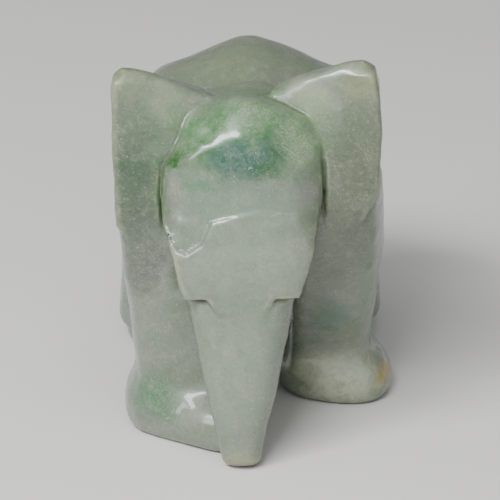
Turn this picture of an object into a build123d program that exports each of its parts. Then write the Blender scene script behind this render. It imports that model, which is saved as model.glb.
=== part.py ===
"""A small standing elephant carved from one piece of jade, about 40 mm tall.

Millimetres, +Z up. The animal faces -Y and +X is its own left side. The forms are drawn with the
trunk's tip at y = 0 and x = 0 down the middle of the body, and are then moved together so that the
origin is at the middle of the overall box, on the plane that the soles rest on.

Each carved region is its own solid. A region that is named first keeps its whole form, and the
regions after it are cut back to it, so neighbours meet face to face along the carver's own lines.
"""
import os

from build123d import *

# ---- driving dimensions ---------------------------------------------------------------------------
GABLE_SLOPE = 0.44        # fall of the roof-shaped back for each millimetre away from the ridge
BACK_ROUND = 1.4          # rounding of the edges that run along the body
EAVE_SHARE = 0.82         # half-width at which the roof turns down into the flank
BELLY_SHARE = 0.7         # half-width at which the flank turns under to the belly
CHEST_Y = 9.0             # front of the body, behind the trunk
RUMP_Y = 45.4             # the furthest point to the rear

HEAD_BACK_Y = 13.5        # where the head ends and the neck begins
LEDGE_Z = 17.8            # the undercut edge below the face, where the trunk begins
BROW_Z = 25.0             # top of the raised pad over the root of the trunk
MUZZLE_FRONT_Y = 3.0
MUZZLE_BACK_Y = 7.0

TRUNK_CLEARANCE = 0.2     # air under the trunk's tip
ANKLE_Z = 4.4             # top of the feet
LEFT_SETBACK = 1.2        # how much further back the left rear leg stands than the right
FOOT_TOP_ROUND = 1.2      # the rounded upper edge of each foot
SOLE_ROUND = 0.4          # the worn edge round each sole
TRUNK_ROUND = 0.42        # corner radius of the trunk's sections, for each millimetre of width
BROW_ROUND = 0.9          # softening of the head's edges
LEG_ROUND = 0.5           # softening of the legs' edges
CREASE_ROUND = 0.2        # softening of the crisp edges on the ears, the muzzle and the tail
BROAD_CORNER = 1.0        # corner radius in the drawn outlines of the head, the ears and the legs
FINE_CORNER = 0.4         # the same in the smaller outlines of the muzzle, the ears and the tail
HALF_WAY = 40.0           # how far a drawn prism runs when another form trims it


# ---- shape helpers --------------------------------------------------------------------------------
def rounded_outline(points, radius):
    """A closed outline with every corner rounded."""
    face = make_face(Polyline(*points, close=True))
    return fillet(face.vertices(), radius)


def across(points, radius, low_x=-HALF_WAY, high_x=HALF_WAY):
    """A prism whose outline is (y, z) and which runs from side to side."""
    outline = Plane.YZ.offset(low_x) * rounded_outline(points, radius)
    return extrude(outline, high_x - low_x, dir=(1, 0, 0))


def along(points, radius, front_y=-HALF_WAY, back_y=2 * HALF_WAY):
    """A prism whose outline is (x, z) and which runs from front to back."""
    outline = Plane.XZ.offset(-back_y) * rounded_outline(points, radius)
    return extrude(outline, back_y - front_y, dir=(0, -1, 0))


def upright(points, radius, low_z, high_z):
    """A prism whose outline is (x, y) and which stands up."""
    outline = Plane.XY.offset(low_z) * rounded_outline(points, radius)
    return extrude(outline, high_z - low_z, dir=(0, 0, 1))


def mirrored(points):
    """The same outline on the other side of the body."""
    return [(-x, other) for x, other in points]


def cut_back(form, *kept):
    """The form without the regions that were carved before it."""
    for region in kept:
        form = form - region
    return max(form.solids(), key=lambda solid: solid.volume)


# ---- body -----------------------------------------------------------------------------------------
def body_section(y, ridge_z, half_width, belly_z):
    """One gabled cross-section of the body."""
    eave_x = half_width * EAVE_SHARE
    eave_z = ridge_z - eave_x * GABLE_SLOPE
    flank = [
        (eave_x, eave_z),
        (half_width, eave_z - (eave_z - belly_z) * 0.35),
        (half_width * 0.96, belly_z + (eave_z - belly_z) * 0.2),
        (half_width * BELLY_SHARE, belly_z),
    ]
    outline = rounded_outline([(0, ridge_z)] + flank + mirrored(reversed(flank)), BACK_ROUND)
    return Plane.XZ.offset(-y) * outline


def make_torso():
    """The chest, belly, arched back and rump."""
    stations = [
        (CHEST_Y, 33.2, 6.8, 15.4),
        (14.5, 34.6, 12.2, 13.4),
        (24.5, 37.0, 12.7, 13.6),
        (34.0, 33.6, 12.6, 13.4),
        (42.0, 26.4, 11.2, 13.0),
        (RUMP_Y, 20.4, 7.6, 13.2),
    ]
    return loft([body_section(*station) for station in stations])


# ---- head -----------------------------------------------------------------------------------------
def make_head():
    """The shield-shaped head with its domed forehead."""
    profile = [
        (4.6, LEDGE_Z), (3.8, 24.0), (4.4, 28.5), (6.2, 32.6), (9.4, 35.4), (12.6, 35.8),
        (HEAD_BACK_Y, 34.0), (HEAD_BACK_Y, LEDGE_Z),
    ]
    shield = [
        (-4.8, 12.0), (-9.0, 26.6), (-9.3, 31.4), (-5.2, 34.4), (-0.6, 36.0),
        (4.2, 34.9), (8.2, 32.0), (7.8, 27.0), (3.9, 12.0),
    ]
    form = across(profile, BROAD_CORNER) & along(shield, BROAD_CORNER)
    return fillet(form.edges(), BROW_ROUND)


def make_muzzle():
    """The raised pad over the root of the trunk, undercut along its lower edge."""
    profile = [
        (4.4, LEDGE_Z - 0.4), (MUZZLE_FRONT_Y, LEDGE_Z), (3.1, 21.0), (4.4, BROW_Z),
        (MUZZLE_BACK_Y, BROW_Z), (MUZZLE_BACK_Y, LEDGE_Z - 0.4),
    ]
    pad = [
        (-6.3, LEDGE_Z - 2.0), (-6.2, LEDGE_Z + 0.8), (-7.6, 22.6), (-4.6, 23.2), (-3.2, 25.6),
        (1.0, 26.4), (5.5, 25.2), (4.9, LEDGE_Z - 2.0),
    ]
    form = across(profile, FINE_CORNER / 2) & along(pad, FINE_CORNER)
    return fillet(form.edges(), CREASE_ROUND)


def make_trunk():
    """The cone of the trunk, from the ledge down to its rounded tip."""
    stations = [
        (LEDGE_Z, -0.9, 3.2, 11.4, 11.5),
        (10.0, -1.0, 2.4, 8.3, 9.4),
        (2.4, -0.8, 0.4, 4.4, 5.6),
        (TRUNK_CLEARANCE, -0.8, 1.0, 3.0, 4.2),
    ]
    sections = []
    for z, middle_x, front_y, width, back_y in stations:
        depth = back_y - front_y
        outline = RectangleRounded(width, depth, TRUNK_ROUND * min(width, depth))
        sections.append(Plane.XY.offset(z) * Pos(middle_x, (front_y + back_y) / 2) * outline)
    return loft(sections)


# ---- ears -----------------------------------------------------------------------------------------
def make_ear(front_outline):
    """One thick ear, standing up beside the head and lying back along the shoulder."""
    fan = [
        (8.2, 24.0), (8.0, 33.0), (8.8, 41.4), (10.4, 40.2), (14.4, 36.2), (19.4, 30.6),
        (20.6, 25.4), (16.6, 19.8), (11.0, 18.6),
    ]
    form = along(front_outline, FINE_CORNER) & across(fan, BROAD_CORNER)
    return fillet(form.edges(), CREASE_ROUND)


def make_right_ear():
    """The ear on -X, with a blunt tip."""
    return make_ear([
        (-12.6, 39.2), (-13.9, 37.4), (-13.8, 24.6), (-10.4, 19.0), (-8.9, 22.0), (-8.9, 32.0),
        (-4.8, 34.6), (-5.2, 35.9),
    ])


def make_left_ear():
    """The ear on +X, a little taller and more pointed."""
    return make_ear([
        (11.3, 40.2), (12.9, 38.8), (13.2, 28.2), (12.4, 23.4), (10.0, 19.6), (8.1, 22.0),
        (7.9, 32.2), (4.4, 35.0), (4.9, 36.4),
    ])


# ---- legs and feet --------------------------------------------------------------------------------
def make_leg(front_outline, side_outline):
    """One leg from the ankle up to the shoulder or the haunch."""
    form = along(front_outline, BROAD_CORNER) & across(side_outline, 1.5 * BROAD_CORNER)
    form = split(form, Plane.XY.offset(ANKLE_Z), keep=Keep.TOP)
    ankle_edges = form.faces().sort_by(Axis.Z)[0].edges()
    return fillet(form.edges() - ankle_edges, LEG_ROUND)


def make_foot(plan):
    """One broad foot with a flat sole."""
    foot = upright(plan, 1.6 * BROAD_CORNER, 0.0, ANKLE_Z)
    foot = fillet(foot.faces().sort_by(Axis.Z)[-1].edges(), FOOT_TOP_ROUND)
    return fillet(foot.faces().sort_by(Axis.Z)[0].edges(), SOLE_ROUND)


def make_right_front():
    """The striding leg beside the trunk, and its foot."""
    front = [
        (-11.2, 0.0), (-11.6, 6.0), (-12.4, 12.0), (-13.4, 17.5), (-13.2, 21.5), (-11.0, 24.0),
        (-6.0, 24.0), (-3.4, 20.0), (-2.0, 13.0), (-1.2, 0.0),
    ]
    side = [
        (8.6, 0.0), (8.4, 8.0), (9.0, 14.0), (10.6, 20.0), (13.0, 24.0), (18.6, 23.6),
        (19.8, 18.0), (18.0, 11.0), (17.0, 0.0),
    ]
    plan = [
        (-12.9, 11.8), (-11.4, 9.0), (-7.1, 6.0), (-2.2, 3.4), (1.0, 6.4), (1.2, 15.0),
        (-3.0, 18.0), (-11.0, 18.4), (-13.0, 15.5),
    ]
    return make_leg(front, side), make_foot(plan)


def make_left_front():
    """The front leg that is set back, and its foot."""
    front = [
        (12.7, 0.0), (12.8, 7.0), (13.3, 12.6), (13.8, 16.6), (13.4, 21.0), (11.4, 24.0),
        (7.0, 24.0), (4.8, 20.0), (4.2, 13.0), (4.4, 0.0),
    ]
    side = [
        (18.4, 0.0), (17.0, 8.0), (14.0, 14.0), (10.6, 19.0), (10.0, 24.0), (20.6, 24.4),
        (24.6, 18.0), (26.0, 9.0), (26.2, 0.0),
    ]
    plan = [
        (3.3, 19.4), (6.4, 16.6), (10.4, 15.8), (14.2, 16.6), (14.9, 20.0), (14.4, 26.4),
        (10.6, 28.0), (5.6, 27.6), (3.2, 25.0),
    ]
    return make_leg(front, side), make_foot(plan)


def make_rear(setback):
    """The animal's right rear leg and foot, set back by the given distance."""
    front = [
        (-13.0, 0.0), (-13.4, 7.0), (-13.2, 20.0), (-11.4, 24.4), (-7.0, 24.4), (-4.4, 19.0),
        (-3.6, 12.0), (-3.6, 0.0),
    ]
    side = [
        (32.2, 0.0), (31.2, 9.0), (29.4, 14.0), (29.2, 20.0), (32.6, 25.0), (39.4, 24.0),
        (43.4, 18.0), (44.0, 11.0), (43.0, 0.0),
    ]
    plan = [
        (-13.2, 32.0), (-9.5, 30.8), (-4.6, 31.2), (-2.9, 33.4), (-3.0, 41.8), (-5.4, 44.0),
        (-10.6, 44.2), (-13.6, 42.2), (-14.0, 36.0),
    ]
    side = [(y + setback, z) for y, z in side]
    plan = [(x, y + setback) for x, y in plan]
    return make_leg(front, side), make_foot(plan)


def make_tail():
    """The short tail, left standing in low relief down the rump."""
    profile = [
        (40.0, 29.6), (42.6, 27.4), (45.2, 22.4), (46.2, 16.6), (46.0, 10.6), (44.4, 10.2),
        (43.6, 16.0), (40.0, 26.0),
    ]
    front = [
        (-0.9, 30.5), (0.9, 30.5), (1.2, 20.0), (1.6, 12.4), (0.9, 10.0), (-0.5, 10.0),
        (-1.0, 12.6), (-1.0, 20.0),
    ]
    form = across(profile, FINE_CORNER) & along(front, FINE_CORNER)
    return fillet(form.edges(), CREASE_ROUND)


# ---- the whole animal -----------------------------------------------------------------------------
def carve():
    """Every region by name, each cut back to the regions that were carved before it."""
    right_ear = make_right_ear()
    left_ear = make_left_ear()
    muzzle = make_muzzle()
    trunk = cut_back(make_trunk(), muzzle)
    head = cut_back(make_head(), right_ear, left_ear, muzzle)
    face = [right_ear, left_ear, muzzle, trunk, head]
    right_front_leg, right_front_foot = make_right_front()
    left_front_leg, left_front_foot = make_left_front()
    right_rear_leg, right_rear_foot = make_rear(0.0)
    left_rear_leg, left_rear_foot = [mirror(form, Plane.YZ) for form in make_rear(LEFT_SETBACK)]
    regions = {
        "right_ear": right_ear,
        "left_ear": left_ear,
        "muzzle": muzzle,
        "trunk": trunk,
        "head": head,
        "right_front_leg": cut_back(right_front_leg, *face),
        "left_front_leg": cut_back(left_front_leg, *face),
        "right_rear_leg": right_rear_leg,
        "left_rear_leg": left_rear_leg,
        "right_front_foot": cut_back(right_front_foot, trunk),
        "left_front_foot": left_front_foot,
        "right_rear_foot": right_rear_foot,
        "left_rear_foot": left_rear_foot,
        "tail": make_tail(),
    }
    regions["torso"] = cut_back(make_torso(), *regions.values())
    return regions


def to_shared_origin(regions):
    """Moves every region so that the overall box is centred on the origin and stands on z = 0."""
    box = Compound(list(regions.values())).bounding_box()
    shift = Pos(-box.center().X, -box.center().Y, -box.min.Z)
    return {name: shift * region for name, region in regions.items()}


if __name__ == "__main__":
    os.makedirs("parts", exist_ok=True)
    for name, region in to_shared_origin(carve()).items():
        export_step(region, f"parts/{name}.step")
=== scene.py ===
import math

import bpy
import numpy as np
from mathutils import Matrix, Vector


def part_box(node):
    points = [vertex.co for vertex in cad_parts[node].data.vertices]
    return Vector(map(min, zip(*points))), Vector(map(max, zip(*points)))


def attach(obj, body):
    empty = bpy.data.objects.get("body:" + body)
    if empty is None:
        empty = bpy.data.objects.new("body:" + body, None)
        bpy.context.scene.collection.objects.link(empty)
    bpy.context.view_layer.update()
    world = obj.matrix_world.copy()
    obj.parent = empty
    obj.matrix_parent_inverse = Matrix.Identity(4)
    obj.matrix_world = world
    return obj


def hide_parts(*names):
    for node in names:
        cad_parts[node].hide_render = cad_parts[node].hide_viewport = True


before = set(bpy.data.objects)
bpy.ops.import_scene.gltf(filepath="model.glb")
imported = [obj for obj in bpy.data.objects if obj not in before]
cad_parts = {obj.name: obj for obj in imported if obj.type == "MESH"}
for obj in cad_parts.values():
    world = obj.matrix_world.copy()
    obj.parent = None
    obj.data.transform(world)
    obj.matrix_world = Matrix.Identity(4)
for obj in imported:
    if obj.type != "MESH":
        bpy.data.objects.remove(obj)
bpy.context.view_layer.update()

# The stone is worked in the drawing's millimetres: x = 0 on the torso's middle, y = 0 just before
# the trunk's tip, z = 0 on the table. Right and left are the animal's own.
MM = 0.001
TRUNK_SETBACK = 0.37


def frame_box(node):
    """A region's two corners in the frame, in millimetres."""
    low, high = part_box(node)
    return np.array(low) / MM, np.array(high) / MM


def drawing_zero():
    low, high = frame_box("torso")
    return np.array([(low[0] + high[0]) / 2, frame_box("trunk")[0][1] - TRUNK_SETBACK, 0.0])


ZERO = drawing_zero()


def in_frame(x, y, z):
    """A place on the drawing, in the frame's metres."""
    return Vector((np.array([x, y, z]) + ZERO) * MM)


# ---- distances -------------------------------------------------------------------------------------
def soft_max(a, b, k):
    """Where both forms are, with their shared edge worn over a width of about k."""
    h = np.maximum(k - np.abs(a - b), 0.0)
    return np.maximum(a, b) + h * h / (4.0 * k)


def soft_min(a, b, k):
    """Where either form is, with the corner between them filled over a width of about k."""
    h = np.maximum(k - np.abs(a - b), 0.0)
    return np.minimum(a, b) - h * h / (4.0 * k)


def common(k, parts):
    """What every form in the list holds, with edges worn to k."""
    return carve(parts[0], [(part, k) for part in parts[1:]])


def carve(block, cuts):
    """The block after each cut in turn, with the new edge worn over that cut's own width."""
    for cut, k in cuts:
        block = soft_max(block, cut, k)
    return block


def ease(value, start, end):
    """0 before start and 1 past end, smoothly."""
    t = np.clip((value - start) / (end - start), 0.0, 1.0)
    return t * t * (3.0 - 2.0 * t)


def curve(t, knots, values):
    """A smooth line through a few values."""
    knots, values = np.array(knots, float), np.array(values, float)
    slopes = np.gradient(values, knots)
    i = np.clip(np.searchsorted(knots, t) - 1, 0, len(knots) - 2)
    h = knots[i + 1] - knots[i]
    s = np.clip((t - knots[i]) / h, 0, 1)
    body = values[i] * (1 + 2 * s) * (1 - s) ** 2 + values[i + 1] * s * s * (3 - 2 * s)
    return body + h * (slopes[i] * s * (1 - s) ** 2 - slopes[i + 1] * s * s * (1 - s))


def plane(p, normal, point):
    """Distance past a plane."""
    n = np.array(normal, float) / np.linalg.norm(normal)
    return n[0] * p[0] + n[1] * p[1] + n[2] * p[2] - float(n @ np.array(point, float))


def facet(p, inside, a, b, c):
    """Distance past the plane through three places, with the stone on the side that holds inside."""
    a, b, c = [np.array(v, float) for v in (a, b, c)]
    n = np.cross(b - a, c - a)
    if n @ (np.array(inside, float) - a) > 0:
        n = -n
    return plane(p, n, a)


def outline(u, v, points):
    """Distance to a closed outline drawn in one plane, negative inside."""
    pts = np.array(points, float)
    best = np.full(u.shape, 1e9, np.float32)
    inside = np.zeros(u.shape, bool)
    for a, b in zip(pts, np.roll(pts, -1, 0)):
        e = b - a
        t = np.clip(((u - a[0]) * e[0] + (v - a[1]) * e[1]) / (e @ e), 0, 1)
        best = np.minimum(best, (u - a[0] - t * e[0]) ** 2 + (v - a[1] - t * e[1]) ** 2)
        if e[1]:
            crosses = (a[1] > v) != (b[1] > v)
            inside ^= crosses & (u < a[0] + (v - a[1]) / e[1] * e[0])
    return np.where(inside, -1.0, 1.0) * np.sqrt(best)


def rounded(u, v, points, k):
    """Distance to a convex outline whose corners are rounded over k."""
    pts = np.array(points, float)
    centre = pts.mean(0)
    whole = None
    for a, b in zip(pts, np.roll(pts, -1, 0)):
        n = np.array([b[1] - a[1], a[0] - b[0]]) / np.linalg.norm(b - a)
        if n @ (centre - a) > 0:
            n = -n
        edge = n[0] * (u - a[0]) + n[1] * (v - a[1])
        whole = edge if whole is None else soft_max(whole, edge, k)
    return whole


# ---- the carved regions ----------------------------------------------------------------------------
# Each is a distance in the drawing's millimetres, negative inside: outlines seen from the front and
# the side, and flat facets. The number after a cut is the width over which its edge is worn.
FACE_MIDDLE = -0.7
TRUNK_MIDDLE = -0.9
HEAD_BACK, HEAD_BOTTOM = 15.5, 17.4
PAD_BACK = 8.0
TRUNK_TOP = 18.8
RUMP = 45.2
BELLY = 13.4
ANKLE = 3.2
LEFT_SETBACK = 1.2
EAR_ROUND = 0.75
TRUNK_ROUND = 0.9
LEG_ROUND = 1.6
HAUNCH_ROUND = 3.0
ANKLE_ROUND = 0.5
FOOT_PLAN_ROUND, FOOT_TOP_ROUND, SOLE_ROUND = 2.4, 2.8, 1.5


def brow_profile(z):
    """How far back the forehead's middle line lies at each height."""
    heights = [16, 19, 21.5, 24, 26, 29, 31.5, 33.5, 36]
    return curve(z, heights, [3.3, 3.3, 3.45, 3.9, 4.3, 4.7, 5.05, 5.62, 7.6])


def face_bow(x, z):
    """How far the face falls back to each side, less so low down on the pad."""
    flat = 1.0 - 0.6 * ease(-z, -28.0, -21.0)
    off = x - FACE_MIDDLE
    return flat * (0.011 * off ** 2 + 0.0006 * off ** 4)


def head(p):
    """A shield with a domed forehead; flat facets meet on the crest, and a bright arc crosses the brow."""
    x, y, z = p
    inside = (-0.5, 10.0, 27.0)
    crest, brow_right, brow_left = (0.5, 8.1, 36.3), (-5.0, 6.9, 33.5), (7.4, 8.4, 33.6)
    side = outline(x, z, [
        (-6.3, 16.6), (-7.9, 22.5), (-8.55, 24.2), (-9.0, 27.0), (-9.5, 31.0), (-9.9, 34.0),
        (-7.0, 38.5), (0.0, 40.0), (6.5, 38.5), (8.6, 35.5), (7.65, 30.5), (7.4, 27.4), (6.8, 24.4),
        (4.8, 16.6)])
    dome = (brow_profile(z) + face_bow(x, z) - y) * 0.9
    arc = curve(x, [-8.0, -5.0, -2.5, 0.25, 2.5, 6.0], [30.0, 32.25, 33.83, 34.35, 34.35, 33.6])
    brow = (brow_profile(arc) + face_bow(x, z) + 1.05 * (z - arc) - y) * 0.69
    return carve(dome, [
        (facet(p, inside, (1.2, 6.45, 34.6), (2.9, 5.2, 30.7), (7.4, 8.6, 33.3)), 0.35),
        (brow, 0.5),
        (facet(p, inside, crest, brow_right, (-5.2, 10.3, 35.6)), 0.3),
        (facet(p, inside, crest, brow_left, (4.7, 10.3, 34.8)), 0.6),
        (plane(p, (0, 0.2, 1), crest), 0.9),
        (side, 0.8),
        (y - HEAD_BACK, 1.0),
        (HEAD_BOTTOM - z, 0.4)])


def muzzle(p):
    """The raised pad over the trunk's root, with a zigzag top edge and a stepped ledge below."""
    x, y, z = p
    pad = outline(x, z, [
        (-6.5, 17.35), (-7.75, 22.0), (-8.35, 24.2), (-7.9, 23.1), (-7.1, 22.35), (-6.2, 22.15),
        (-4.95, 23.05), (-4.3, 24.1), (-3.75, 25.25), (1.0, 26.3), (5.7, 25.5), (6.55, 24.6),
        (6.3, 22.2), (5.7, 20.1), (4.85, 17.45), (2.6, 17.35), (1.4, 15.8), (-3.2, 15.8),
        (-4.4, 17.3)])
    proud = 0.05 + 0.32 * ease(-x, -1.0, 4.5)
    front = (brow_profile(z) + face_bow(x, z) - proud - y) * 0.97
    return carve(pad, [(front, 0.42), (y - PAD_BACK, 0.4)])


def trunk(p):
    """A cone with a squarish section, thinning to a blunt tip."""
    x, y, z = p
    half_width = curve(z, [0.0, 1.6, 6.5, 12.4, 18.0], [1.75, 2.1, 3.3, 4.6, 5.75])
    half_depth = curve(z, [0.0, 1.6, 9.0, 18.0], [1.5, 1.9, 3.0, 4.3])
    front = curve(z, [0.0, 1.6, 9.0, 18.0], [0.45, 0.5, 1.75, 3.45])
    power = 2.2 + 0.5 * ease(z, 1.0, 14.0)
    u = np.abs((x - TRUNK_MIDDLE) / half_width) + 1e-6
    v = np.abs((y - front - half_depth) / half_depth) + 1e-6
    r = (u ** power + v ** power) ** (1.0 / power)
    side = (r - 1.0) * np.sqrt((u * half_width) ** 2 + (v * half_depth) ** 2) / r
    sole = plane(p, (0, -0.3, -1), (-0.8, 1.6, 0.25))
    return common(TRUNK_ROUND, [side, sole, z - TRUNK_TOP])


def swept_back(y, z, top):
    """An ear from the side: a front edge that stands up to a thin top, and a flap along the flank."""
    return outline(y, z, [
        (9.9, 19.0), (8.7, 22.2), (8.15, 25.0), (7.85, 30.0), (7.95, top - 3.4), (8.4, top - 1.1),
        (9.6, top), (10.5, top - 0.1), (12.6, top - 2.8), (16.4, 33.6), (19.8, 29.8), (20.4, 25.4),
        (16.6, 19.8), (11.5, 17.6)])


def right_ear(p):
    x, y, z = p
    front = outline(x, z, [
        (-13.2, 23.0), (-13.55, 30.0), (-13.7, 37.0), (-13.4, 38.4), (-12.6, 39.4), (-11.4, 39.4),
        (-5.9, 37.0), (-2.5, 35.6), (-4.5, 30.0), (-8.3, 29.0), (-8.6, 24.0), (-9.0, 19.6), (-9.8, 18.0),
        (-11.2, 20.2)])
    bevel = facet(p, (-11.0, 12.0, 30.0), (-9.6, 9.3, 39.2), (-5.2, 9.9, 36.5), (-9.1, 7.75, 32.9))
    neck = plane(p, (9.0, 5.5, 0.0), (-3.9, 11.4, 36.0))
    return common(EAR_ROUND, [front, swept_back(y, z, 39.35), bevel, neck])


def left_ear(p):
    x, y, z = p
    front = outline(x, z, [
        (12.85, 27.6), (12.9, 33.0), (12.7, 37.4), (12.2, 39.2), (11.2, 40.3), (9.9, 40.2), (3.5, 37.3),
        (0.5, 35.6), (3.0, 31.0), (6.9, 30.0), (7.3, 26.0), (8.2, 23.6), (10.0, 22.6), (11.4, 23.8),
        (12.3, 25.6)])
    bevel = facet(p, (10.0, 12.0, 30.0), (7.85, 9.4, 39.6), (3.4, 10.0, 36.4), (7.5, 7.75, 34.1))
    neck = plane(p, (-9.0, 5.5, 0.0), (1.8, 11.7, 36.0))
    return common(EAR_ROUND, [front, swept_back(y, z, 40.2), bevel, neck])


def torso(p):
    """An arched back like a low roof, on a barrel that narrows to the chest and the rump."""
    x, y, z = p
    across = np.sqrt(x * x + 1.4 ** 2) - 1.4
    ridge = curve(y, [8, 15, 24.5, 34, 42, 46], [35.2, 34.8, 37.1, 33.9, 26.8, 19.0])
    width = curve(y, [8, 11, 15, 22, 32, 40, 46], [6.5, 8.8, 11.6, 12.2, 12.4, 11.8, 8.6])
    roof = (z - ridge + 0.45 * across) * 0.91
    flank = np.abs(x) - width + 0.012 * np.maximum(z - 24.0, 0) ** 2
    chest = (9.3 + 1.1 * np.maximum(24.0 - z, 0) - y) * 0.7
    return carve(roof, [(flank, 3.4), (y - RUMP, 3.0), (chest, 1.5), (BELLY - z, 3.0)])


def right_front_leg(p):
    """The striding leg, one upright edge well rounded."""
    x, y, z = p
    front = outline(x, z, [
        (-11.2, 0.0), (-11.5, 6.5), (-12.2, 12.5), (-13.0, 17.0), (-13.25, 21.0), (-13.0, 25.5),
        (-5.0, 25.5), (-3.0, 20.0), (-2.0, 13.0), (-1.2, 0.0)])
    side = outline(y, z, [
        (8.6, 0.0), (7.9, 8.0), (7.9, 15.0), (8.2, 20.0), (8.55, 26.0), (17.0, 26.0), (19.8, 20.0),
        (18.8, 11.0), (17.4, 0.0)])
    corner = plane(p, (-1.0, -0.8, 0.0), (-11.7, 8.3, 12.0)) - 0.07 * (z - 12.0)
    return carve(front, [(side, LEG_ROUND), (corner, HAUNCH_ROUND), (ANKLE - z, ANKLE_ROUND)])


def left_front_leg(p):
    x, y, z = p
    front = outline(x, z, [
        (12.5, 0.0), (12.75, 8.0), (13.25, 13.0), (13.75, 18.0), (13.6, 22.0), (13.2, 26.5), (7.0, 26.5),
        (4.8, 20.0), (4.0, 13.0), (4.2, 0.0)])
    side = outline(y, z, [
        (18.2, 0.0), (17.4, 5.0), (15.6, 9.0), (12.4, 14.5), (9.5, 19.5), (8.35, 23.0), (8.2, 27.0),
        (20.6, 26.5), (24.6, 18.0), (26.0, 9.0), (26.2, 0.0)])
    corner = plane(p, (1.0, -0.75, -0.33), (12.3, 11.3, 18.5))
    return carve(front, [(side, LEG_ROUND), (corner, HAUNCH_ROUND), (ANKLE - z, ANKLE_ROUND)])


def rear_leg(p, side, back):
    x, y, z = p
    front = outline(x * side, z, [
        (13.6, 0.0), (13.75, 6.0), (13.35, 18.0), (11.8, 25.5), (7.0, 25.5), (4.4, 19.0), (3.6, 12.0),
        (3.6, 0.0)])
    flank = outline(y - back, z, [
        (32.4, 0.0), (31.2, 9.0), (29.2, 14.0), (29.0, 20.0), (32.6, 26.0), (39.4, 25.0), (43.6, 18.0),
        (44.3, 11.0), (43.2, 0.0)])
    return carve(front, [(flank, HAUNCH_ROUND), (ANKLE - z, ANKLE_ROUND)])


def foot(p, plan, top):
    """A low pad with a flat sole: its outline on the table, and its height."""
    x, y, z = p
    sides = rounded(x, y, plan, FOOT_PLAN_ROUND)
    return carve(sides, [(z - top, FOOT_TOP_ROUND), (-z, SOLE_ROUND)])


def right_front_foot(p):
    return foot(p, [
        (-13.35, 12.4), (-12.6, 9.6), (-9.6, 7.3), (-2.0, 3.3), (1.4, 6.0), (1.6, 15.0), (-3.0, 18.2),
        (-11.0, 18.7), (-13.3, 16.0)], 4.7)


def left_front_foot(p):
    return foot(p, [
        (3.0, 19.2), (5.4, 16.9), (9.6, 15.5), (13.0, 15.9), (14.8, 18.0), (14.7, 25.4), (11.6, 28.1),
        (5.6, 28.0), (3.0, 25.0)], 4.3)


def rear_foot(p, side, back):
    x, y, z = p
    return foot((x * side, y - back, z), [
        (13.4, 31.6), (9.5, 30.6), (4.6, 30.9), (2.8, 33.4), (2.8, 41.8), (5.4, 44.2), (10.6, 44.3),
        (13.3, 42.4), (13.8, 36.0)], 4.6)


def tail(p):
    x, y, z = p
    side = outline(y, z, [
        (40.0, 30.2), (42.7, 27.4), (45.2, 22.4), (46.0, 16.6), (45.9, 10.4), (44.2, 10.2), (43.0, 16.0),
        (38.0, 26.0)])
    back = outline(x, z, [
        (-1.0, 31.5), (1.0, 31.5), (1.35, 20.0), (1.75, 12.4), (0.7, 9.8), (-0.9, 9.8), (-1.2, 12.6),
        (-1.15, 20.0)])
    return soft_max(side, back, 0.8)


REGIONS = {
    "torso": torso,
    "head": head,
    "muzzle": muzzle,
    "trunk": trunk,
    "right_ear": right_ear,
    "left_ear": left_ear,
    "right_front_leg": right_front_leg,
    "left_front_leg": left_front_leg,
    "right_rear_leg": lambda p: rear_leg(p, -1, 0.0),
    "left_rear_leg": lambda p: rear_leg(p, 1, LEFT_SETBACK),
    "right_front_foot": right_front_foot,
    "left_front_foot": left_front_foot,
    "right_rear_foot": lambda p: rear_foot(p, -1, 0.0),
    "left_rear_foot": lambda p: rear_foot(p, 1, LEFT_SETBACK),
    "tail": tail,
}
BOXES = {name: [corner - ZERO for corner in frame_box(name)] for name in REGIONS}
REACH = 3.6  # No fillet between regions is wider than this.


def region_distances(points):
    """Distance to every region, worked out only within REACH of its box."""
    found = {}
    for name, form in REGIONS.items():
        low, high = BOXES[name]
        near = np.all((points > low - REACH) & (points < high + REACH), axis=1)
        d = np.full(len(points), REACH, np.float32)
        if near.any():
            d[near] = np.minimum(form(points[near].T.astype(np.float32)), REACH)
        found[name] = d
    return found


# ---- the stone as one surface ----------------------------------------------------------------------
ANKLE_FILLET, HIP_FILLET, TAIL_FILLET = 2.2, 1.8, 0.9
PAD_FILLET, TRUNK_FILLET = 0.35, 0.4
FACE_CUT, EAR_CUT, LEDGE_CUT = 0.2, 0.08, 0.4
HAND_HEIGHT, RIPPLE_HEIGHT = 0.055, 0.012


def groove(a, b, width):
    """1 along the line where two regions meet, fading over width."""
    return np.exp(-((a - b) / width) ** 2) * np.exp(-(np.minimum(a, b) / 0.9) ** 2)


def join(points, d):
    """The regions run together as carved: soft at the limbs, cut crisply round the face."""
    x, y, z = points.T
    body = d["torso"]
    for corner in ("right_front", "left_front", "right_rear", "left_rear"):
        limb = soft_min(d[corner + "_leg"], d[corner + "_foot"], ANKLE_FILLET)
        body = soft_min(body, limb, HIP_FILLET)
    body = soft_min(body, d["tail"], TAIL_FILLET)
    face = soft_min(d["head"], d["muzzle"], PAD_FILLET)
    nape = ease(z, 31.0, 35.0)
    stone = soft_min(body, face, 0.5 + 3.0 * nape)
    stone = np.minimum(stone, soft_min(face, d["trunk"], TRUNK_FILLET))
    ears = np.minimum(d["right_ear"], d["left_ear"])
    high = ease(z, 29.5, 32.0)
    stone = soft_min(stone, ears, 0.45 - 0.2 * high)
    beside = groove(ears, face, 0.3) * ease(z, 21.5, 24.5) * (1.0 - 0.85 * high)
    under_ears = groove(ears, body, 0.4) * ease(np.abs(x + 0.3), 10.8, 12.2) * ease(-y, -14.0, -10.0)
    sides = ease(np.abs(x + 0.95), 2.9, 4.2)
    ledge = groove(d["muzzle"], d["trunk"], 0.35) * sides
    return stone + FACE_CUT * beside + EAR_CUT * under_ears + LEDGE_CUT * ledge


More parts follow.
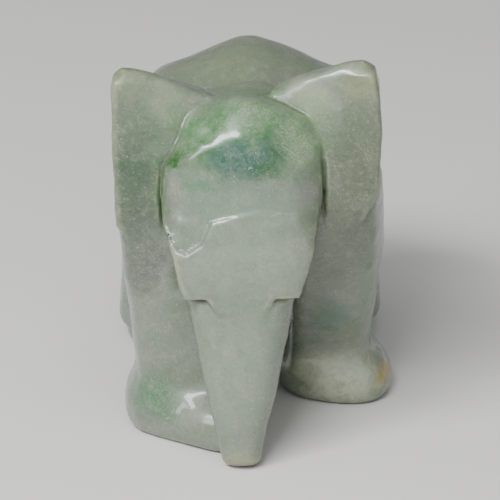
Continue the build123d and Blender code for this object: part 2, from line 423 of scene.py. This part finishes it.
def waves(seed, count, wavelength):
    """A sum of plane waves in chance directions, about 1 high."""
    rng = np.random.default_rng(seed)
    k = rng.normal(size=(count, 3))
    k *= (2 * np.pi / wavelength) / np.linalg.norm(k, axis=1)[:, None]
    phase = rng.uniform(0, 2 * np.pi, count)

    def height(points):
        total = np.zeros(len(points))
        for direction, start in zip(k, phase):
            total += np.sin(points @ direction + start)
        return total / math.sqrt(count / 2)
    return height


HAND = waves(3, 9, 6.5)
RIPPLE = waves(4, 12, 1.9)
# Bumps on the left foreleg and the pad's right corner, and chips in the pad's edge and in the ledge:
# place, radius and height.
LUMPS = (
    ((11.9, 11.6, 21.3), 1.0, 0.22),
    ((11.9, 11.8, 17.6), 1.3, 0.2),
    ((-8.1, 4.6, 23.6), 0.5, 0.16),
    ((-7.5, 4.2, 23.1), 0.4, 0.12),
)
CHIPS = (
    ((6.05, 4.35, 25.3), 0.55, 0.34),
    ((5.6, 4.25, 25.75), 0.3, 0.2),
    ((-6.7, 3.2, 17.5), 0.35, 0.2),
)


def surface(points):
    """The finished stone: joined regions, small lumps and chips, and the carver's uneven hand."""
    whole = join(points, region_distances(points))
    for places, sign in ((LUMPS, -1.0), (CHIPS, 1.0)):
        for centre, radius, height in places:
            off = ((points - centre) ** 2).sum(1)
            whole = whole + sign * height * np.exp(-off / radius ** 2)
    free = ease(points[:, 2], 0.1, 1.2)
    whole = whole + free * (HAND_HEIGHT * HAND(points) + RIPPLE_HEIGHT * RIPPLE(points))
    return np.maximum(whole, -points[:, 2])


TETRA = np.array([(1, -1, -1), (-1, -1, 1), (-1, 1, -1), (1, 1, 1)], float)


def slope(points, reach):
    """The distance's gradient, and how far its mean around each point is above the point's own."""
    around = np.stack([surface(points + reach * corner) for corner in TETRA], 1)
    return around @ TETRA / (4.0 * reach), around.mean(1)


# ---- from distances to closed meshes ---------------------------------------------------------------
STEP = 0.25
MARGIN = 1.0
SLAB = 8
SEAM_ROUNDS, INNER_ROUNDS = 4, 14
PULL = 0.6
NORMAL_REACH, WEAR_AND_SHADE_REACH = 0.05, 0.3
NAMES = list(REGIONS)
CORNERS = [(a, b, c) for a in (0, 1) for b in (0, 1) for c in (0, 1)]


def sample_grid():
    """The stone's distance and the nearest region's number at every grid point, 0 outside."""
    low = np.min([box[0] for box in BOXES.values()], axis=0) - MARGIN
    high = np.max([box[1] for box in BOXES.values()], axis=0) + MARGIN
    shape = np.ceil((high - low) / STEP).astype(int) + 1
    axes = [low[i] + STEP * np.arange(shape[i]) for i in range(3)]
    field = np.empty(shape, np.float32)
    label = np.zeros(shape, np.uint8)
    for i in range(0, shape[0], SLAB):
        across = axes[0][i:i + SLAB]
        block = np.stack(np.meshgrid(across, axes[1], axes[2], indexing="ij"), -1).reshape(-1, 3)
        d = region_distances(block)
        f = np.maximum(join(block, d), -block[:, 2])
        nearest = np.argmin(np.stack([d[name] for name in NAMES]), axis=0) + 1
        n = len(across)
        field[i:i + n] = f.reshape(n, shape[1], shape[2])
        label[i:i + n] = np.where(f < 0, nearest, 0).reshape(n, shape[1], shape[2])
    return low, field, label


def shifted(grid, offset, size):
    """The grid seen from a corner of each cell."""
    return grid[tuple(slice(o, o + s) for o, s in zip(offset, size))]


def surface_nets(low, field, label):
    """One shared point in each cell that holds a border, and faces between unlike samples."""
    size = np.array(field.shape) - 1
    first = shifted(label, CORNERS[0], size)
    differs = np.zeros(size, bool)
    for corner in CORNERS[1:]:
        differs |= shifted(label, corner, size) != first
    cells = np.argwhere(differs)
    index = np.full(size, -1, np.int64)
    index[tuple(cells.T)] = np.arange(len(cells))
    f = np.stack([field[tuple((cells + corner).T)] for corner in CORNERS], 1)
    lab = np.stack([label[tuple((cells + corner).T)] for corner in CORNERS], 1)
    outer_sum, inner_sum = np.zeros((2, len(cells), 3))
    outer_n, inner_n = np.zeros((2, len(cells)))
    for i, start in enumerate(CORNERS):
        for j, end in enumerate(CORNERS):
            if j <= i or np.abs(np.subtract(start, end)).sum() != 1:
                continue
            crosses = (lab[:, i] == 0) != (lab[:, j] == 0)
            gap = np.where(crosses, f[:, i] - f[:, j], 1.0)
            t = np.clip(np.where(crosses, f[:, i] / gap, 0.5), 0.0, 1.0)
            place = np.array(start, float) + np.subtract(end, start) * t[:, None]
            inner = (lab[:, i] != lab[:, j]) & ~crosses
            outer_sum += place * crosses[:, None]
            outer_n += crosses
            inner_sum += place * inner[:, None]
            inner_n += inner
    outer = outer_n > 0
    total = np.where(outer[:, None], outer_sum, inner_sum)
    points = low + STEP * (cells + total / np.maximum(np.where(outer, outer_n, inner_n), 1)[:, None])
    solid = np.where(lab == 0, 255, lab)
    seam = outer & (solid.min(1) != lab.max(1))
    quads, sides = [], []
    for axis in range(3):
        u, v = (axis + 1) % 3, (axis + 2) % 3
        before, after = [slice(1, -1)] * 3, [slice(1, -1)] * 3
        before[axis], after[axis] = slice(0, -1), slice(1, None)
        one, other = label[tuple(before)], label[tuple(after)]
        where = np.argwhere(one != other)
        ring = []
        for du, dv in ((0, 0), (1, 0), (1, 1), (0, 1)):
            cell = where.copy()
            cell[:, u] += du
            cell[:, v] += dv
            ring.append(index[tuple(cell.T)])
        quads.append(np.stack(ring, 1))
        sides.append(np.stack([one[tuple(where.T)], other[tuple(where.T)]], 1))
    return points, outer, seam, np.concatenate(quads), np.concatenate(sides)


def relax(points, quads, free, among, rounds):
    """Moves the free points towards the mean of their neighbours in among."""
    pairs = np.concatenate([quads[:, [0, 1]], quads[:, [1, 2]], quads[:, [2, 3]], quads[:, [3, 0]]])
    pairs = np.unique(np.sort(pairs, axis=1), axis=0)
    pairs = np.concatenate([pairs, pairs[:, ::-1]])
    pairs = pairs[free[pairs[:, 0]] & among[pairs[:, 1]]]
    count = np.bincount(pairs[:, 0], minlength=len(points))
    moved = count > 0
    for _ in range(rounds):
        for axis in range(3):
            total = np.bincount(pairs[:, 0], points[pairs[:, 1], axis], len(points))
            points[moved, axis] += PULL * (total[moved] / count[moved] - points[moved, axis])


def settle(points):
    """Moves the outer points onto the stone's surface; returns them with normals and how far the surface
    bulges or sinks, for pale worn edges and painted shade in creases.
    """
    start = points.copy()
    for _ in range(2):
        g, _ = slope(points, NORMAL_REACH)
        points = points - g * (surface(points) / np.maximum((g * g).sum(1), 0.2))[:, None]
        off = points - start
        far = np.linalg.norm(off, axis=1)
        points = start + off * np.minimum(1.0, 0.9 * STEP / np.maximum(far, 1e-9))[:, None]
    points[:, 2] = np.maximum(points[:, 2], 0.0)
    g, _ = slope(points, NORMAL_REACH)
    _, mean = slope(points, WEAR_AND_SHADE_REACH)
    return points, g / np.maximum(np.linalg.norm(g, axis=1), 1e-9)[:, None], mean / WEAR_AND_SHADE_REACH


def make_piece(name, points, normals, wear_and_crease_shade, faces):
    """One closed mesh of the stone, standing for its CAD region."""
    used, faces = np.unique(faces, return_inverse=True)
    faces = faces.reshape(-1, 4)
    mesh = bpy.data.meshes.new(name + "_stone")
    mesh.vertices.add(len(used))
    mesh.vertices.foreach_set("co", ((points[used] + ZERO) * MM).ravel())
    mesh.loops.add(faces.size)
    mesh.loops.foreach_set("vertex_index", faces.ravel())
    mesh.polygons.add(len(faces))
    mesh.polygons.foreach_set("loop_start", np.arange(0, faces.size, 4))
    mesh.update(calc_edges=True)
    mesh.validate()
    mesh.polygons.foreach_set("use_smooth", np.ones(len(mesh.polygons), bool))
    mesh.normals_split_custom_set_from_vertices(normals[used])
    # How far the surface bulges or sinks: the jade pales the worn edges by it and paints shade into the
    # creases.
    layer = mesh.attributes.new("wear_and_crease_shade", "FLOAT", "POINT")
    layer.data.foreach_set("value", wear_and_crease_shade[used].astype(np.float32))
    piece = bpy.data.objects.new(name + "_stone", mesh)
    bpy.context.scene.collection.objects.link(piece)
    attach(piece, "root")
    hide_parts(name)
    return piece


def build_pieces():
    points, outer, seam, quads, sides = surface_nets(*sample_grid())
    relax(points, quads, seam, seam, SEAM_ROUNDS)
    normals, wear_and_crease_shade = np.zeros_like(points), np.zeros(len(points))
    points[outer], normals[outer], wear_and_crease_shade[outer] = settle(points[outer])
    relax(points, quads, ~outer, np.ones(len(points), bool), INNER_ROUNDS)
    pieces = []
    for number, name in enumerate(NAMES, 1):
        faces = np.concatenate([quads[sides[:, 0] == number], quads[sides[:, 1] == number][:, ::-1]])
        pieces.append(make_piece(name, points, normals, wear_and_crease_shade, faces))
    return pieces


# ---- jade ------------------------------------------------------------------------------------------
DEPTH, VIVID = 0.54, 1.5
DRIFT = 5.0
POLISH = 0.2
BUMP, GLOW = 0.04, 0.5


def linear(red, green, blue):
    """A screen colour, 0 to 255, as a deeper and stronger one, since lamps and gloss pale the stone."""
    screen = np.array([red, green, blue]) / 255
    light = np.where(screen <= 0.04045, screen / 12.92, ((screen + 0.055) / 1.055) ** 2.4)
    grey = light @ np.array([0.21, 0.72, 0.07])
    deep = DEPTH * (grey + VIVID * (light - grey))
    return (*np.maximum(deep, 0.002).tolist(), 1.0)


class Recipe:
    """Small steps for putting a node material together."""

    def __init__(self, name):
        self.material = bpy.data.materials.new(name)
        self.material.use_nodes = True
        self.tree = self.material.node_tree
        self.shader = self.tree.nodes["Principled BSDF"]

    def put(self, value, socket):
        if isinstance(value, bpy.types.NodeSocket):
            self.tree.links.new(value, socket)
        else:
            socket.default_value = value

    def node(self, kind, *values, **settings):
        made = self.tree.nodes.new(kind)
        for key, value in settings.items():
            setattr(made, key, value)
        for value, socket in zip(values, made.inputs):
            if value is not None:
                self.put(value, socket)
        return made

    def math(self, operation, *values):
        return self.node("ShaderNodeMath", *values, operation=operation).outputs[0]

    def vector(self, operation, *values):
        return self.node("ShaderNodeVectorMath", *values, operation=operation)

    def ramp(self, value, start, end, low=0.0, high=1.0):
        made = self.node("ShaderNodeMapRange", value, start, end, low, high)
        made.interpolation_type = "SMOOTHSTEP"
        return made.outputs[0]

    def mix(self, amount, a, b):
        """Colour a, with an amount of colour b over it."""
        made = self.tree.nodes.new("ShaderNodeMix")
        made.data_type = "RGBA"
        self.put(amount, made.inputs[0])
        self.put(a, made.inputs[6])
        self.put(b, made.inputs[7])
        return made.outputs[2]

    def noise(self, place, scale, detail=3.0, roughness=0.55, distortion=0.0):
        made = self.tree.nodes.new("ShaderNodeTexNoise")
        for key, value in (("Vector", place), ("Scale", scale), ("Detail", detail),
                           ("Roughness", roughness), ("Distortion", distortion)):
            self.put(value, made.inputs[key])
        return made

    def stretched(self, place, turn, stretch):
        """The place turned and stretched, so that noise in it comes out as streaks."""
        made = self.tree.nodes.new("ShaderNodeMapping")
        made.vector_type = "TEXTURE"
        self.put(place, made.inputs["Vector"])
        made.inputs["Rotation"].default_value = [math.radians(a) for a in turn]
        made.inputs["Scale"].default_value = stretch
        return made.outputs[0]

    def near(self, place, centre, radii, soft=0.55):
        """1 inside an ellipsoid about centre, fading to 0 past its radii."""
        away = self.vector("SUBTRACT", place, centre).outputs[0]
        away = self.vector("DIVIDE", away, radii).outputs[0]
        length = self.vector("LENGTH", away).outputs["Value"]
        return self.ramp(length, 1.0 + soft / 2, 1.0 - soft)


# Clouds in the stone, with a few patches of painted light and shade among them: place, radii, colour on
# screen and strength.
CLOUDS_AND_PAINTED_LIGHT = (
    ((0.0, 26.0, 36.0), (13.0, 12.0, 5.0), (130, 138, 117), 0.7),
    ((-11.4, 8.0, 27.5), (3.4, 7.0, 9.0), (86, 100, 82), 1.0),
    ((-11.5, 9.0, 38.2), (3.4, 6.0, 2.2), (142, 152, 129), 0.8),
    # Partly frosted wear and partly painted highlight: a pale patch on the right ear's bevel.
    ((-7.6, 9.5, 35.8), (1.9, 4.0, 2.4), (172, 182, 160), 0.7),
    ((-11.6, 9.0, 29.6), (3.4, 9.0, 2.6), (70, 94, 72), 0.85),
    ((10.6, 8.0, 27.5), (3.6, 7.0, 10.0), (96, 104, 86), 1.0),
    ((10.9, 9.0, 38.4), (2.8, 5.0, 2.4), (148, 152, 124), 0.8),
    # Partly frosted wear and partly painted highlight: a pale patch on the left ear's bevel.
    ((6.0, 9.8, 35.8), (2.2, 4.0, 2.4), (166, 174, 150), 0.75),
    # Painted shade: darker patches on the tops of both forelegs, under the ears.
    ((-10.8, 9.0, 19.5), (3.0, 6.0, 4.0), (98, 103, 96), 1.0),
    ((9.6, 10.0, 20.0), (4.4, 6.0, 6.5), (104, 111, 99), 0.75),
    ((-0.6, 6.0, 33.6), (9.6, 6.0, 4.8), (88, 128, 86), 1.0),
    ((0.4, 12.5, 35.5), (4.2, 3.4, 2.7), (112, 136, 102), 0.7),
    ((4.9, 6.6, 32.4), (2.4, 3.0, 2.4), (130, 152, 122), 0.6),
    ((-7.6, 5.8, 30.7), (1.5, 3.0, 1.5), (58, 98, 44), 1.0),
    ((-8.9, 7.0, 27.6), (0.7, 3.0, 3.4), (100, 132, 90), 0.6),
    ((-5.6, 4.6, 28.6), (2.9, 3.0, 0.8), (92, 130, 98), 0.8),
    ((7.3, 7.0, 30.0), (0.7, 3.0, 4.0), (108, 138, 98), 0.6),
    ((-0.6, 5.0, 31.6), (3.9, 3.0, 2.2), (52, 92, 84), 0.95),
    ((2.4, 5.0, 30.9), (1.9, 3.0, 1.8), (44, 92, 56), 0.95),
    ((-1.0, 3.5, 27.0), (7.0, 4.0, 2.6), (142, 162, 146), 0.7),
    ((-1.0, 3.0, 21.5), (7.6, 3.4, 4.6), (164, 174, 160), 0.75),
    ((-0.9, 3.0, 10.0), (5.5, 4.0, 9.0), (160, 170, 156), 0.6),
    ((-10.2, 6.6, 5.0), (3.2, 5.0, 2.6), (80, 122, 92), 0.85),
    ((8.1, 12.6, 10.8), (2.6, 5.0, 2.6), (104, 130, 118), 0.7),
    ((12.3, 13.0, 15.6), (1.5, 6.0, 3.6), (104, 128, 98), 0.6),
    # Painted light: a pale patch over the left front foot, lifting it where the lamps leave it shaded.
    ((8.0, 16.0, 2.6), (7.0, 6.0, 3.4), (206, 210, 190), 0.85),
    ((13.9, 18.6, 2.9), (1.3, 2.4, 1.5), (186, 158, 92), 0.75),
    ((-0.9, 1.2, 0.5), (2.4, 2.4, 1.3), (172, 170, 146), 0.8),
    ((-12.0, 27.0, 24.0), (4.0, 6.0, 5.0), (104, 130, 102), 0.6),
    ((12.5, 34.0, 20.0), (4.0, 6.0, 6.0), (150, 154, 146), 0.6),
    ((3.0, 44.0, 22.0), (7.0, 5.0, 6.0), (100, 128, 106), 0.6),
    ((-9.0, 40.0, 12.0), (5.0, 6.0, 5.0), (156, 164, 148), 0.6),
)


def add_clouds_and_painted_light(r, colour, drifted):
    """Greener, bluer and paler clouds, and the patches of painted light and shade, each broken up into
    wisps.
    """
    wisps = r.ramp(r.noise(drifted, 1.1, 6.0, 0.65, 0.8).outputs["Fac"], 0.32, 0.62, 0.5, 1.15)
    for centre, radii, shade, strength in CLOUDS_AND_PAINTED_LIGHT:
        amount = r.math("MULTIPLY", r.near(drifted, centre, radii, 0.75), strength)
        amount = r.math("MULTIPLY", amount, wisps)
        colour = r.mix(amount, colour, linear(*shade))
    return colour


def add_grain_and_glints(r, colour, place, drifted, middling, fine):
    """Dark speckle in the blue patch, pale and dark mottling, short white fibres, and white flecks that
    are partly grains and partly painted glints.
    """
    blue_patch = r.near(drifted, (0.4, 5.0, 31.4), (4.2, 3.0, 2.2))
    speckle = r.math("MULTIPLY", r.ramp(fine, 0.5, 0.62), r.math("MULTIPLY", blue_patch, 0.45))
    colour = r.mix(speckle, colour, linear(58, 92, 84))
    colour = r.mix(r.ramp(fine, 0.48, 0.8, 0.0, 0.4), colour, linear(186, 196, 182))
    colour = r.mix(r.ramp(fine, 0.46, 0.24, 0.0, 0.45), colour, linear(104, 120, 104))
    streaked = r.stretched(place, (12, 20, 35), (1.0, 0.22, 0.22))
    fibres = r.noise(streaked, 0.9, 3.0, 0.7, 0.3).outputs["Fac"]
    colour = r.mix(r.ramp(fibres, 0.56, 0.74, 0.0, 0.5), colour, linear(190, 196, 184))
    # White flecks: partly pale grains in the stone, partly painted glints standing in for sparkle off
    # scratches and fibres.
    cells = r.noise(place, 3.6, 2.0, 0.5).outputs["Fac"]
    flecks_and_glints = r.math("MULTIPLY", r.ramp(cells, 0.68, 0.75), r.ramp(middling, 0.42, 0.62))
    return r.mix(r.math("MULTIPLY", flecks_and_glints, 0.65), colour, linear(226, 230, 214))


def rough_places(r, drifted):
    """1 where the polish is worn, at the pale brow facet, the crest and the trunk's tip, and less
    on the ears' bevels and the right front foot."""
    brow = r.near(drifted, (4.2, 6.6, 33.0), (2.8, 3.0, 2.6))
    tip = r.near(drifted, (-1.2, 1.6, 1.4), (2.6, 3.0, 1.8))
    crest = r.near(drifted, (0.6, 8.4, 36.2), (4.2, 2.2, 1.5))
    right_bevel = r.near(drifted, (-7.6, 9.2, 36.2), (2.2, 3.0, 2.6))
    left_bevel = r.near(drifted, (6.2, 9.4, 36.6), (2.4, 3.0, 2.6))
    toes = r.near(drifted, (-6.5, 4.0, 5.0), (5.0, 5.0, 3.0))
    ends = r.math("MAXIMUM", r.math("MAXIMUM", brow, tip), crest)
    sides = r.math("MAXIMUM", r.math("MAXIMUM", right_bevel, left_bevel), toes)
    return r.math("MAXIMUM", ends, r.math("MULTIPLY", sides, 0.6))


def scratch_lines(r, place, rough):
    """Thin lines where stretched noise crosses its middle value, most of them in the rough places."""
    lines = None
    for turn in ((0, 38, 0), (0, -52, 20), (30, 70, 0)):
        streaks = r.noise(r.stretched(place, turn, (6.0, 0.12, 0.12)), 0.8, 1.0, 0.5).outputs["Fac"]
        thin = r.ramp(r.math("ABSOLUTE", r.math("SUBTRACT", streaks, 0.5)), 0.016, 0.002)
        lines = thin if lines is None else r.math("MAXIMUM", lines, thin)
    patchy = r.ramp(r.noise(place, 0.45, 2.0).outputs["Fac"], 0.5, 0.66)
    return r.math("MULTIPLY", lines, r.math("MAXIMUM", rough, r.math("MULTIPLY", patchy, 0.7)))


def jade():
    """Polished jade: cloudy grey-green with greener clouds, white flecks partly painted as glints, worn
    edges, creases darkened with painted shade, fine scratches, and a few patches of painted light and
    shade.
    """
    r = Recipe("jade")
    metres = r.node("ShaderNodeTexCoord").outputs["Object"]
    scaled = r.vector("SCALE", metres)
    scaled.inputs["Scale"].default_value = 1.0 / MM
    place = r.vector("SUBTRACT", scaled.outputs[0], tuple(ZERO)).outputs[0]
    drift = r.noise(place, 0.32, 4.0, 0.6).outputs["Color"]
    drift = r.vector("SUBTRACT", drift, (0.5, 0.5, 0.5)).outputs[0]
    drifted = r.vector("MULTIPLY_ADD", drift, (DRIFT, DRIFT, DRIFT), place).outputs[0]

    broad = r.noise(place, 0.11, 3.0, 0.6, 0.6).outputs["Fac"]
    middling = r.noise(drifted, 0.5, 4.0, 0.6, 0.4).outputs["Fac"]
    fine = r.noise(place, 2.4, 6.0, 0.7, 0.6).outputs["Fac"]
    grain = r.noise(place, 7.0, 4.0, 0.7).outputs["Fac"]
    colour = r.mix(r.ramp(broad, 0.38, 0.62), linear(128, 138, 122), linear(146, 150, 142))
    colour = r.mix(r.ramp(middling, 0.42, 0.68, 0.0, 0.6), colour, linear(116, 134, 114))
    colour = add_clouds_and_painted_light(r, colour, drifted)
    colour = add_grain_and_glints(r, colour, place, drifted, middling, fine)
    rough = rough_places(r, drifted)
    scratches = scratch_lines(r, place, rough)
    colour = r.mix(r.math("MULTIPLY", scratches, 0.6), colour, linear(215, 220, 200))

    # Edges rubbed pale, and painted shade darkening the creases.
    wear_and_crease_shade = r.node("ShaderNodeAttribute", attribute_name="wear_and_crease_shade").outputs["Fac"]
    broken = r.ramp(fine, 0.3, 0.62, 0.35, 1.0)
    rubbed = r.math("MULTIPLY", r.ramp(wear_and_crease_shade, 0.1, 0.28), broken)
    colour = r.mix(r.math("MULTIPLY", rubbed, 0.5), colour, linear(196, 199, 174))
    # Painted shade: the creases, where the surface sinks, are mixed towards dark green-grey.
    colour = r.mix(r.ramp(wear_and_crease_shade, -0.05, -0.3, 0.0, 0.55), colour, linear(84, 92, 72))
    r.put(colour, r.shader.inputs["Base Color"])

    # Roughness: the polish varies a little, and is dull in the scratches, worn places and creases.
    dull = r.math("MULTIPLY_ADD", r.ramp(middling, 0.3, 0.7), 0.1, POLISH)
    for amount, share in ((grain, 0.12), (scratches, 0.2), (rough, 0.2), (rubbed, 0.12)):
        dull = r.math("MULTIPLY_ADD", amount, share, dull)
    dull = r.math("ADD", dull, r.ramp(wear_and_crease_shade, -0.04, -0.14, 0.0, 0.35))
    r.put(dull, r.shader.inputs["Roughness"])

    height = r.math("MULTIPLY_ADD", scratches, -0.5, r.math("MULTIPLY", fine, 0.35))
    height = r.math("MULTIPLY_ADD", grain, 0.12, height)
    bump = r.node("ShaderNodeBump")
    bump.inputs["Strength"].default_value = 0.5
    bump.inputs["Distance"].default_value = BUMP * MM
    r.put(height, bump.inputs["Height"])
    r.put(bump.outputs[0], r.shader.inputs["Normal"])

    r.shader.inputs["IOR"].default_value = 1.6
    r.shader.inputs["Coat Weight"].default_value = 0.45
    r.shader.inputs["Coat Roughness"].default_value = 0.08
    r.shader.inputs["Subsurface Weight"].default_value = 0.15
    r.shader.inputs["Subsurface Radius"].default_value = (0.8, 1.0, 0.7)
    r.shader.inputs["Subsurface Scale"].default_value = GLOW * MM
    return r.material


# ---- floor, light and camera -----------------------------------------------------------------------
CAMERA_HEIGHT, CAMERA_DISTANCE = 22.0, 0.38
LENS_PER_WIDTH = 7.56
SKY = 0.34


def make_floor():
    half = 0.6
    corners = [(-half, -half, 0), (half, -half, 0), (half, half, 0), (-half, half, 0)]
    mesh = bpy.data.meshes.new("floor")
    mesh.from_pydata(corners, [], [(0, 1, 2, 3)])
    floor = bpy.data.objects.new("floor", mesh)
    bpy.context.scene.collection.objects.link(floor)
    r = Recipe("floor")
    r.shader.inputs["Base Color"].default_value = (0.62, 0.61, 0.59, 1)
    r.shader.inputs["Roughness"].default_value = 0.7
    mesh.materials.append(r.material)


def aim(thing, target):
    thing.rotation_euler = (target - thing.location).to_track_quat("-Z", "Y").to_euler()


def softbox(name, target, azimuth, elevation, distance, width, height, power):
    """A rectangular lamp aimed at the figure. Azimuth 0 is in front, and 90 at the picture's right."""
    lamp = bpy.data.lights.new(name, "AREA")
    lamp.shape = "RECTANGLE"
    lamp.size, lamp.size_y, lamp.energy = width, height, power
    thing = bpy.data.objects.new(name, lamp)
    bpy.context.scene.collection.objects.link(thing)
    a, e = math.radians(azimuth), math.radians(elevation)
    way = Vector((math.sin(a) * math.cos(e), -math.cos(a) * math.cos(e), math.sin(e)))
    thing.location = target + distance * way
    aim(thing, target)


def make_camera(target):
    """A long lens from a little above, straight in front of the figure."""
    elevation = math.radians(CAMERA_HEIGHT)
    camera = bpy.data.cameras.new("camera")
    camera.sensor_width = 36.0
    camera.lens = LENS_PER_WIDTH * camera.sensor_width
    camera.clip_start, camera.clip_end = 0.01, 10.0
    thing = bpy.data.objects.new("camera", camera)
    bpy.context.scene.collection.objects.link(thing)
    thing.location = target + CAMERA_DISTANCE * Vector((0, -math.cos(elevation), math.sin(elevation)))
    aim(thing, target)
    bpy.context.scene.camera = thing


def make_world():
    world = bpy.data.worlds.new("studio")
    world.use_nodes = True
    sky = world.node_tree.nodes["Background"]
    sky.inputs["Color"].default_value = (0.8, 0.82, 0.85, 1)
    sky.inputs["Strength"].default_value = SKY
    bpy.context.scene.world = world


PIECES = build_pieces()
JADE = jade()
for piece in PIECES:
    piece.data.materials.append(JADE)

TARGET = in_frame(0.0, 12.0, 19.22)
make_floor()
make_camera(TARGET)
softbox("key", TARGET, azimuth=-34, elevation=46, distance=0.45, width=0.34, height=0.1, power=3.2)
softbox("side", TARGET, azimuth=-50, elevation=24, distance=0.5, width=0.1, height=0.16, power=0.7)
softbox("front", TARGET, azimuth=14, elevation=26, distance=1.0, width=1.3, height=1.0, power=4.2)
softbox("overhead", TARGET, azimuth=10, elevation=76, distance=0.6, width=0.5, height=0.4, power=0.8)
make_world()
